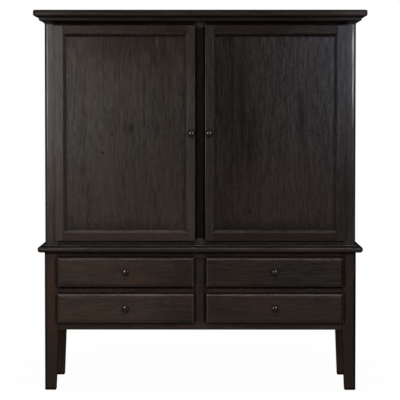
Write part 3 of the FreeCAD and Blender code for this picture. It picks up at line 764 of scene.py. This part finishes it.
# Marks of the boards, placed one by one, their numbers in the order of a mark's fields
# Many marks paint light and shade: dark lines for painted shadow, pale lines for painted highlights,
# warm dull patches for weaker lamp reflection low down
LEFT_POST_LIGHT_SHADE = (
    # Left post: warm, dull patch low down, painted weaker reflection; pale line, painted highlight on
    # the arris; dark line at the edge, painted shade
    Mark(-0.750, 0.85, 0.10, 0.50, 0.5, warm=True),
    Mark(-0.7635, 1.63, 0.0040, 0.75, -0.32), Mark(-0.776, 1.31, 0.012, 1.4, 0.95))
# Right post: pale line, painted highlight on the arris; dark line at the edge and broad dark low
# down, painted shade
RIGHT_POST_LIGHT_SHADE = (
    Mark(0.7625, 1.69, 0.0062, 0.60, -1.0), Mark(0.776, 1.31, 0.011, 1.4, 1.0),
    Mark(0.750, 0.95, 0.06, 0.35, 0.3))
FOOT = (Mark(0.0, 0.0, 6.0, 0.014, 0.85, 0.0, 6.0),)
# Dark line down each front leg's outer edge: painted shade of the rounded corner
LEFT_LEG = (Mark(-0.776, 0.35, 0.010, 1.0, 0.9),)
RIGHT_LEG = (Mark(0.774, 0.35, 0.009, 1.0, 1.0),)
# Painted shadow under the drawer fronts, on the middle rails
DRAWER_SHADOW = (Mark(0.0, 0.5170, 6.0, 0.012, 0.95),)
# Painted shadows of the drawer fronts on the centre stile between them
STILE_SHADOWS = (Mark(-0.0260, 0.50, 0.009, 0.60, 0.5), Mark(0.0215, 0.50, 0.016, 0.60, 0.6))
# Drawer fronts: dark line at the outer end, painted shade in the gap; pale line on the inner bevel,
# painted highlight; left fronts also darker towards the inner end
LEFT_DRAWER_LIGHT_SHADE = (
    Mark(-0.0300, 0.50, 0.30, 0.60, 0.30), Mark(-0.714, 0.50, 0.006, 0.40, 0.4),
    Mark(-0.0385, 0.50, 0.0042, 0.40, -0.05))
RIGHT_DRAWER_LIGHT_SHADE = (Mark(0.712, 0.50, 0.008, 0.40, 0.7), Mark(0.0360, 0.50, 0.0042, 0.40, -0.11))
# Dark lines along the top and the underside of the waist's nose: painted shade
WAIST_SHADE = (
    Mark(0.0, 0.722, 6.0, 0.0065, 0.8, -0.32, 0.08),
    Mark(0.0, 0.6955, 6.0, 0.010, 0.5, -0.32, 0.08))
# Pale line along the plinth's top arris: painted highlight
PLINTH_HIGHLIGHT = (Mark(0.0, 0.730, 6.0, 0.0045, -0.07),)
# Cap: dark along its top, painted shade; paler at both ends, painted light of the side lamps
CAP_LIGHT_SHADE = (
    Mark(0.0, 1.9045, 6.0, 0.020, 0.75, -0.345, 0.08),
    Mark(-0.80, 1.885, 0.16, 0.03, -0.012, -0.345, 0.08),
    Mark(0.80, 1.885, 0.18, 0.03, -0.020, -0.345, 0.08))
# Door rails: warm, dull patch and pale lift on the bottom rails, painted weaker reflection and
# painted light; top rails darker near the middle and paler at their outer ends, painted light of the
# side lamps
RAIL_LIGHT_SHADE = (
    Mark(0.0, 0.775, 6.0, 0.06, 0.5, warm=True), Mark(0.0, 0.775, 6.0, 0.06, -0.02),
    Mark(-0.12, 1.80, 0.20, 0.10, 0.35),
    Mark(-0.60, 1.80, 0.25, 0.08, -0.012), Mark(0.58, 1.80, 0.25, 0.08, -0.03))
# Dark on the top sticks and on the right door's bottom stick: painted shade
STICK_SHADES = (Mark(0.0, 1.7775, 6.0, 0.012, 0.7), Mark(0.375, 0.803, 0.40, 0.03, 0.40))
# Left panel: warm, dull patch low down, painted weaker reflection; dark at the top, painted shadow of
# the cornice; dark along the bottom, painted shade; a broad darker band towards the middle, knots and
# a small pale fleck
LEFT_MARKS = (
    Mark(-0.400, 0.95, 0.45, 0.32, 0.15, warm=True),
    Mark(-0.345, 1.817, 0.50, 0.30, 0.45), Mark(-0.120, 1.35, 0.18, 0.90, 0.15),
    Mark(-0.345, 1.312, 0.024, 0.045, 0.55), Mark(-0.440, 1.283, 0.008, 0.010, 1.0),
    Mark(-0.488, 1.194, 0.009, 0.013, 1.0), Mark(-0.216, 1.755, 0.012, 0.060, -0.03),
    Mark(-0.375, 0.815, 0.60, 0.055, 0.30))
# Left door's stiles: warm, dull patch low down, painted weaker reflection; darker at the top and
# along the inner edge near the middle
LEFT_STILES = (
    Mark(-0.690, 0.85, 0.12, 0.45, 0.45, warm=True),
    Mark(-0.050, 1.78, 0.07, 0.30, 0.35), Mark(-0.028, 1.40, 0.012, 0.80, 0.25))
# Right door's stiles: pale line on the inner arris, painted highlight; outer stile dark low and pale
# high, painted shade and light; warm, dull patch low down, painted weaker reflection
RIGHT_STILES = (
    Mark(0.0262, 1.29, 0.0028, 0.56, -0.28), Mark(0.705, 0.95, 0.05, 0.30, 0.3),
    Mark(0.715, 1.60, 0.04, 0.40, -0.025), Mark(0.060, 0.95, 0.10, 0.40, 0.4, warm=True))
# Right panel: warm, dull patch low down, painted weaker reflection; dark along the bottom, painted
# shade; a broad darker band towards the middle, streaks and a knot
RIGHT_MARKS = (
    Mark(0.380, 0.95, 0.50, 0.34, 0.45, warm=True),
    Mark(0.165, 1.46, 0.16, 0.80, 0.32), Mark(0.212, 1.45, 0.024, 0.46, 0.35),
    Mark(0.255, 1.26, 0.028, 0.36, 0.30), Mark(0.503, 1.390, 0.028, 0.22, 0.45),
    Mark(0.249, 0.900, 0.018, 0.030, 0.5), Mark(0.375, 0.815, 0.60, 0.055, 0.35))
KNOT_FRONT = (Mark(0.54, 0.592, 0.035, 0.014, 0.4),)


class Workshop:
    """Numbers the pieces as they are dressed, so that each has its own part of the figure."""

    count = 0

    @classmethod
    def dress(cls, piece: bpy.types.Object, finish: Finish) -> None:
        """Gives a piece its finish and reports it.

        Args:
            piece: A CAD node's object or a new piece.
            finish: The finish.
        """
        cls.count += 1
        material = finish.material(piece.name, cls.count)
        if not piece.material_slots:
            piece.data.materials.append(material)
        for slot in piece.material_slots:
            slot.material = material
        log.info("%-32s %s", piece.name, type(finish).__name__)

    @classmethod
    def dress_nodes(cls, finishes: dict[str, Finish]) -> None:
        """Gives each named CAD node its finish."""
        for name, finish in finishes.items():
            cls.dress(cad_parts[name], finish)


def new_piece(name: str, points: np.ndarray, faces: np.ndarray) -> bpy.types.Object:
    """Makes a mesh piece at the origin.

    Args:
        name: The piece's name.
        points: Its points, n x 3, in metres.
        faces: Its four-sided faces, m x 4, as numbers of points.

    Returns:
        The piece, linked to the scene.
    """
    mesh = bpy.data.meshes.new(name)
    mesh.from_pydata(points.tolist(), [], faces.tolist())
    mesh.shade_smooth()
    mesh.set_sharp_from_angle(angle=CREASE)
    piece = bpy.data.objects.new(name, mesh)
    bpy.context.scene.collection.objects.link(piece)
    return piece


@dataclass
class Door:
    """One door: frame, panel, moulding sticks and knob.

    Attributes:
        side: The side it hangs on.
        panel_marks: Marks of its panel.
        stile_marks: Marks of its stiles.
        shade: Brightness of its stiles.
        cast: Tint of its stain; on the right door a blue tint that paints the cool light it reflects.
        play: How much the panel's shine varies with its figure.
        panel_share: Brightness of the panel against the stiles.
        rail_share: Brightness of the rails against the stiles.
        upright_share: Brightness of the standing sticks against the stiles.
        panel_board: Width of the panel's boards.
        panel_rings: Spacing of the panel's growth rings.
        stick_width: Width of a moulding stick.
        stick_lip: Height of a stick's inner edge over the panel.
        shoulder: Radius of a stick's eased outer edge.
        ease: Radius of a stick's eased inner edge.
        steps: Points in each eased edge.
    """

    side: Side
    panel_marks: tuple[Mark, ...]
    stile_marks: tuple[Mark, ...]
    shade: float
    cast: Triple
    play: float = 0.38
    panel_share: float = 0.95
    rail_share: float = 0.73
    upright_share: float = 0.8
    panel_board: float = 0.142
    panel_rings: float = 0.02
    stick_width: float = 0.015
    stick_lip: float = 0.002
    shoulder: float = 0.0022
    ease: float = 0.0012
    steps: int = 7

    def stick_profile(self, rise: float) -> np.ndarray:
        """Works out a stick's section.

        From the frame inwards the top turns on the shoulder's circle by the lean of the slope, goes
        straight down to the lip and turns on the inner edge's circle to the panel.

        Args:
            rise: The stick's height at the frame.

        Returns:
            Points of (distance from the frame, height over the panel), once round.
        """
        square = 0.5 * math.pi
        lean = math.atan2(rise - self.stick_lip, self.stick_width)
        turn = np.linspace(square, square - lean, self.steps)
        top = np.stack([self.shoulder * np.cos(turn),
                        rise - self.shoulder + self.shoulder * np.sin(turn)], axis=1)
        edge = np.linspace(square - lean, 0.0, self.steps)
        low = np.stack([self.stick_width - self.ease + self.ease * np.cos(edge),
                        self.stick_lip - self.ease + self.ease * np.sin(edge)], axis=1)
        foot = np.array([[self.stick_width, 0.0], [0.0, 0.0]])
        return np.concatenate([top, low, foot])

    def sticks(self, name: str, upright: bool) -> bpy.types.Object:
        """Makes the two opposite sticks of the panel's surround.

        A stick is its section carried along one side of the panel's opening, each end slid
        along by the distance from the frame, which cuts the mitre.

        Args:
            name: The name of the piece.
            upright: Whether the sticks stand or lie.

        Returns:
            The piece.
        """
        low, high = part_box(f"{self.side.value}_door_moulding")
        across, along = (0, 2) if upright else (2, 0)
        section = self.stick_profile(high.y - low.y)
        inward, height = section[:, 0], section[:, 1]
        count = len(section)
        points = []
        for edge, sense in ((low[across], 1.0), (high[across], -1.0)):
            for end, slide in ((low[along], 1.0), (high[along], -1.0)):
                ring = np.empty((count, 3))
                ring[:, across] = edge + sense * inward
                ring[:, 1] = high.y - height
                ring[:, along] = end + slide * inward
                points.append(ring)
        start = np.arange(count)
        after = np.roll(start, -1)
        quads = np.stack([start, after, after + count, start + count], axis=1)
        piece = new_piece(name, np.concatenate(points), np.concatenate([quads, quads + 2 * count]))
        self.close(piece, count)
        return piece

    def close(self, piece: bpy.types.Object, count: int) -> None:
        """Closes the four mitred ends and turns every face outwards.

        Args:
            piece: The piece of two sticks.
            count: The number of points in a section.
        """
        mesh = bmesh.new()
        mesh.from_mesh(piece.data)
        mesh.verts.ensure_lookup_table()
        for end in range(len(mesh.verts) // count):
            mesh.faces.new(mesh.verts[end * count:(end + 1) * count])
        bmesh.ops.recalc_face_normals(mesh, faces=mesh.faces)
        mesh.to_mesh(piece.data)
        mesh.free()

    def build(self) -> None:
        """Builds the moulding and dresses the door."""
        body = f"{self.side.value}_door"
        panel = StainedOak(
            Grain.UP, self.panel_share * self.shade, red=0.6, board=self.panel_board,
            rings=self.panel_rings, play=self.play, cast=self.cast, marks=self.panel_marks)
        Workshop.dress_nodes({
            f"{body}_stiles": StainedOak(
                Grain.UP, self.shade, cast=self.cast, marks=self.stile_marks),
            f"{body}_rails": StainedOak(
                Grain.ACROSS, self.rail_share * self.shade, red=0.6, lacquer=0.020,
                marks=RAIL_LIGHT_SHADE),
            f"{body}_panel": panel,
            f"{body}_knob": BRONZED,
            f"{body}_fittings": BLACKENED})
        uprights = StainedOak(
            Grain.UP, self.upright_share * self.shade, lacquer=0.054, reach=0.022, wear=0.3,
            cast=(0.94, 0.99, 1.10))
        crosspieces = StainedOak(
            Grain.ACROSS, self.shade, lacquer=0.03, reach=0.026, wear=0.3, marks=STICK_SHADES)
        pairs = (("uprights", True, uprights), ("crosspieces", False, crosspieces))
        for word, upright, finish in pairs:
            piece = self.sticks(f"{body}_moulding_{word}", upright)
            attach(piece, body)
            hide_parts(f"{body}_moulding")
            Workshop.dress(piece, finish)


@dataclass
class Drawer:
    """One drawer: a bevelled front, a box and a knob.

    Attributes:
        row: The row it is in.
        side: The side it is on.
        shade: Brightness of its front.
        red: Warmth of its front.
        marks: Marks of its front alone.
        halo_drop: How far under the knob's middle the painted shadow round it lies.
        halo_reach: Radius of that painted shadow.
        halo_depth: How dark it is.
        bottom_board: Width of the boards of its bottom.
    """

    row: Row
    side: Side
    shade: float
    red: float
    marks: tuple[Mark, ...] = ()
    halo_drop: float = 0.003
    halo_reach: float = 0.027
    halo_depth: float = 0.6
    bottom_board: float = 0.11

    def build(self) -> None:
        """Dresses the drawer."""
        name = f"{self.row.value}_{self.side.value}_drawer"
        low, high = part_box(f"{name}_knob")
        # A painted shadow round the knob
        knob_shadow = Mark(0.5 * (low.x + high.x), 0.5 * (low.z + high.z) - self.halo_drop,
                    self.halo_reach, self.halo_reach, self.halo_depth)
        # Painted shade in the outer gap and a painted highlight on the inner bevel
        ends = LEFT_DRAWER_LIGHT_SHADE if self.side is Side.LEFT else RIGHT_DRAWER_LIGHT_SHADE
        Workshop.dress_nodes({
            f"{name}_front": StainedOak(
                Grain.ACROSS, self.shade, self.red, run=1.2, play=0.5, reach=0.006, fine=1.1,
                cast=(1.0, 0.99, 0.95), marks=(*self.marks, knob_shadow, *ends)),
            f"{name}_walls": PaleWood(),
            f"{name}_bottom": PaleWood(self.bottom_board),
            f"{name}_knob": BRONZED})


@dataclass
class LegFrame:
    """The lower case: four tapered legs, sides, rails and what carries the drawers.

    Attributes:
        rail: Finish of the rails.
        side: Finish of the sides.
    """

    rail: StainedOak = StainedOak(Grain.ACROSS, 0.85, red=1.2, lacquer=0.038, reach=0.02)
    side: StainedOak = StainedOak(Grain.DEEP, 0.95, board=0.12)

    def leg(self, shade: float, marks: tuple[Mark, ...] = ()) -> StainedOak:
        """Returns a leg's finish, dark at the foot."""
        return StainedOak(
            Grain.UP, shade, red=1.3, lacquer=0.036, cast=(1.0, 0.97, 0.89), marks=FOOT + marks)

    def build(self) -> None:
        """Dresses the lower case."""
        Workshop.dress_nodes({
            "front_left_leg": self.leg(0.72, LEFT_LEG),
            "front_right_leg": self.leg(0.61, RIGHT_LEG),
            "rear_left_leg": self.leg(0.72),
            "rear_right_leg": self.leg(0.72),
            "base_top_rail": self.rail,
            "base_middle_rails": replace(self.rail, marks=DRAWER_SHADOW),
            "base_bottom_rail": self.rail,
            "base_centre_stile": StainedOak(Grain.UP, 0.66, marks=STILE_SHADOWS),
            "base_left_side": self.side,
            "base_right_side": self.side,
            "base_back": StainedOak(Grain.ACROSS, 1.2, lacquer=0.02, wear=0.3),
            "drawer_partition": PaleWood(board=0.10),
            "drawer_runners": PaleWood()})


@dataclass
class Waist:
    """The bullnosed boards between the lower and the upper case."""

    def build(self) -> None:
        """Dresses the boards."""
        Workshop.dress_nodes({
            "waist_board": StainedOak(
                Grain.ACROSS, 0.68, red=0.7, run=0.6, lacquer=0.051, reach=0.006, wear=0.3,
                marks=WAIST_SHADE),
            # The pale line along its top arris is a painted highlight, helped by arrises rubbed fully
            # pale
            "plinth_board": StainedOak(Grain.ACROSS, reach=0.003, wear=1.0, marks=PLINTH_HIGHLIGHT)})


@dataclass
class UpperCase:
    """The cabinet: posts, rails, panels, work surface, shelf and back.

    Attributes:
        post: Finish of the posts.
        level: Finish of the boards that lie.
        side: Finish of the side panels.
    """

    post: StainedOak = StainedOak(Grain.UP, reach=0.004)
    level: StainedOak = StainedOak(Grain.ACROSS, 1.1, board=0.13)
    side: StainedOak = StainedOak(Grain.UP, board=0.125)

    def build(self) -> None:
        """Dresses the cabinet."""
        Workshop.dress_nodes({
            "left_front_post": replace(
                self.post, shade=0.96, cast=(0.98, 1.02, 0.98), marks=LEFT_POST_LIGHT_SHADE),
            "right_front_post": replace(self.post, shade=0.70, lacquer=0.057, marks=RIGHT_POST_LIGHT_SHADE),
            "rear_posts": self.post,
            # Near black: painted shade of the recess between the doors
            "centre_stile": StainedOak(Grain.UP, 0.2, lacquer=0.012, wear=0.1),
            # Its painted corner shade reaches far and its shine is low: painted shadow under the
            # cornice
            "frieze_rail": StainedOak(Grain.ACROSS, lacquer=0.02, reach=0.025, wear=0.1),
            "lower_rail": StainedOak(Grain.ACROSS),
            "left_side_panel": self.side,
            "right_side_panel": self.side,
            "work_surface": self.level,
            "shelf": self.level,
            "case_roof": self.level,
            "back_boards": StainedOak(Grain.UP, 1.3, red=0.6, board=0.098, lacquer=0.02, wear=0.3),
            "hinge_plates": BLACKENED,
            "shelf_pins": ZINC,
            "door_catches": MouldedPlastic()})


@dataclass
class Cornice:
    """The cap board and the cove moulding under it."""

    def build(self) -> None:
        """Dresses the cornice."""
        Workshop.dress_nodes({
            "cornice_cap": StainedOak(
                Grain.ACROSS, 0.72, run=0.6, lacquer=0.02, wear=0.03, marks=CAP_LIGHT_SHADE),
            # Its painted corner shade reaches further: painted shade under the cap
            "cornice_moulding": StainedOak(
                Grain.ACROSS, 0.75, run=0.6, lacquer=0.03, reach=0.024, wear=0.2)})


def set_up(name: str, data: bpy.types.ID, place: Triple, aim: Triple) -> bpy.types.Object:
    """Puts a lamp or the camera into the scene.

    Args:
        name: Its name.
        data: The light or the camera itself.
        place: Where it goes.
        aim: The point it faces.

    Returns:
        Its object.
    """
    thing = bpy.data.objects.new(name, data)
    thing.location = place
    thing.rotation_mode = "QUATERNION"
    thing.rotation_quaternion = (Vector(aim) - Vector(place)).to_track_quat("-Z", "Y")
    bpy.context.scene.collection.objects.link(thing)
    return thing


@dataclass(frozen=True)
class Lamp:
    """A soft box.

    Attributes:
        name: Its name.
        place: Where it hangs.
        aim: The point it faces.
        size: Its width and height.
        level: How bright its face is, where 1 is white.
        tint: The colour of its light.
    """

    name: str
    place: Triple
    aim: Triple
    size: Pair
    level: float
    tint: Triple = WHITE

    def build(self) -> None:
        """Hangs the lamp; its power is its level times pi times its area."""
        light = bpy.data.lights.new(self.name, "AREA")
        light.shape = "RECTANGLE"
        light.size, light.size_y = self.size
        light.energy = self.level * math.pi * self.size[0] * self.size[1]
        light.color = self.tint
        set_up(self.name, light, self.place, self.aim).visible_camera = False


@dataclass
class Studio:
    """A pale floor, a white surround and soft boxes.

    Attributes:
        lamps: The soft boxes.
        ambient: How much the surround lights the object, where 1 is white.
        floor_reach: Half the side of the floor.
        floor_drop: How far the floor lies under the feet.
        floor_tone: Its grey where light falls on it.
        floor_white: The share of plain white near the object, over which the shadow shows.
        floor_fade: Where plain white begins to take over, and where it has.
    """

    lamps: tuple[Lamp, ...] = (
        Lamp("left_box", (-1.42, -4.0, 1.64), (0.0, -0.2, 1.2), (0.40, 1.5), 42.0),
        Lamp("left_fill", (-0.75, -4.0, 1.38), (-0.4, -0.2, 1.3), (0.70, 0.5), 2.2),
        Lamp("right_box", (1.47, -4.0, 2.05), (0.0, -0.2, 1.2), (0.36, 1.2), 58.0,
             (0.86, 0.94, 1.20)),
        Lamp("left_strip", (-1.98, -4.0, 1.50), (0.0, -0.2, 1.2), (0.26, 1.6), 22.0),
        Lamp("right_strip", (1.98, -4.0, 1.50), (0.0, -0.2, 1.2), (0.26, 1.6), 22.0,
             (0.88, 0.94, 1.14)),
        Lamp("top_box", (0.0, -1.7, 3.9), (0.0, -0.2, 0.7), (2.6, 1.2), 8.0),
        Lamp("front_strip", (0.0, -2.6, 3.8), (0.0, -0.2, 0.7), (2.6, 0.4), 24.0),
        Lamp("left_wing", (-4.2, 1.6, 2.2), (0.0, 0.1, 1.0), (2.0, 2.0), 9.0),
        Lamp("right_wing", (4.2, 1.6, 2.2), (0.0, 0.1, 1.0), (2.0, 2.0), 9.0),
        Lamp("rear_box", (0.0, 4.6, 3.2), (0.0, 0.3, 1.0), (3.0, 2.0), 12.0))
    ambient: float = 0.05
    floor_reach: float = 40.0
    floor_drop: float = 0.0003
    floor_tone: float = 0.60
    floor_white: float = 0.955
    floor_fade: Pair = (1.2, 3.2)

    def whites(self, sheet: NodeSheet) -> Socket:
        """Returns 1 for a ray that shows the background as it is: camera, glossy or through."""
        rays = sheet.add("ShaderNodeLightPath").outputs
        shown = sheet.math("MAXIMUM", rays["Is Camera Ray"], rays["Is Glossy Ray"])
        return sheet.math("MAXIMUM", shown, rays["Is Transmission Ray"])

    def surround(self) -> None:
        """Makes the white surround."""
        world = bpy.data.worlds.new("surround")
        bpy.context.scene.world = world
        world.use_nodes = True
        sheet = NodeSheet(world.node_tree)
        light = sheet.add("ShaderNodeBackground", {"Color": WHITE, "Strength": self.ambient})
        white = sheet.add("ShaderNodeBackground", {"Color": WHITE, "Strength": 1.0})
        mixed = sheet.add("ShaderNodeMixShader", {
            0: self.whites(sheet), 1: light.outputs[0], 2: white.outputs[0]})
        sheet.add("ShaderNodeOutputWorld", {"Surface": mixed.outputs[0]})

    def floor(self) -> None:
        """Lays the floor: a square that keeps the shadow near the object and is white far off."""
        corners = np.array([[-1, -1], [1, -1], [1, 1], [-1, 1]]) * self.floor_reach
        points = np.column_stack([corners, np.full(len(corners), -self.floor_drop)])
        piece = new_piece("floor", points, np.array([[0, 1, 2, 3]]))
        material, sheet = new_material("pale_floor")
        here = sheet.add("ShaderNodeTexCoord").outputs["Object"]
        away = sheet.add("ShaderNodeVectorMath", {0: here}, operation="LENGTH").outputs["Value"]
        far = sheet.ramp(away, *self.floor_fade, self.floor_white, 1.0)
        share = sheet.math("MULTIPLY", self.whites(sheet), far)
        matt = sheet.add("ShaderNodeBsdfDiffuse", {"Color": (self.floor_tone,) * 3})
        white = sheet.add("ShaderNodeEmission", {"Color": WHITE, "Strength": 1.0})
        mixed = sheet.add("ShaderNodeMixShader", {
            0: share, 1: matt.outputs[0], 2: white.outputs[0]})
        sheet.add("ShaderNodeOutputMaterial", {"Surface": mixed.outputs[0]})
        piece.data.materials.append(material)

    def build(self) -> None:
        """Sets up the studio."""
        bpy.context.scene.view_settings.view_transform = "Standard"
        self.surround()
        self.floor()
        for lamp in self.lamps:
            lamp.build()


@dataclass(frozen=True)
class Viewpoint:
    """The camera.

    Attributes:
        place: Where it stands.
        aim: The point at the middle of the picture.
        lens: Its focal length in millimetres.
        sensor: The width of its sensor in millimetres.
        far: How far it sees, in metres.
    """

    place: Triple = (0.0522, -10.352, 1.4086)
    aim: Triple = (-0.0010, -0.292, 0.9561)
    lens: float = 181.05
    sensor: float = 36.0
    far: float = 200.0

    def build(self) -> None:
        """Sets up the camera."""
        data = bpy.data.cameras.new("camera")
        data.lens = self.lens
        data.sensor_width = self.sensor
        data.clip_end = self.far
        bpy.context.scene.camera = set_up("camera", data, self.place, self.aim)


def main() -> None:
    """Builds the sub-assemblies in order, then the studio and the camera."""
    logging.basicConfig(level=logging.INFO, format="%(message)s")
    assemblies = (
        LegFrame(), Waist(), UpperCase(), Cornice(),
        Door(Side.LEFT, LEFT_MARKS, LEFT_STILES, 0.97, (0.98, 1.04, 1.02)),
        # The right door's blue tint paints the cool light it reflects
        Door(Side.RIGHT, RIGHT_MARKS, RIGHT_STILES, 0.52, (0.95, 1.0, 1.14), 0.6),
        Drawer(Row.UPPER, Side.LEFT, 0.81, 1.0),
        Drawer(Row.UPPER, Side.RIGHT, 0.50, 1.15, KNOT_FRONT),
        Drawer(Row.LOWER, Side.LEFT, 0.92, 1.0),
        Drawer(Row.LOWER, Side.RIGHT, 0.61, 1.3),
        Studio(), Viewpoint())
    for assembly in assemblies:
        log.info("%s", type(assembly).__name__)
        assembly.build()


if __name__ == "__main__":
    main()
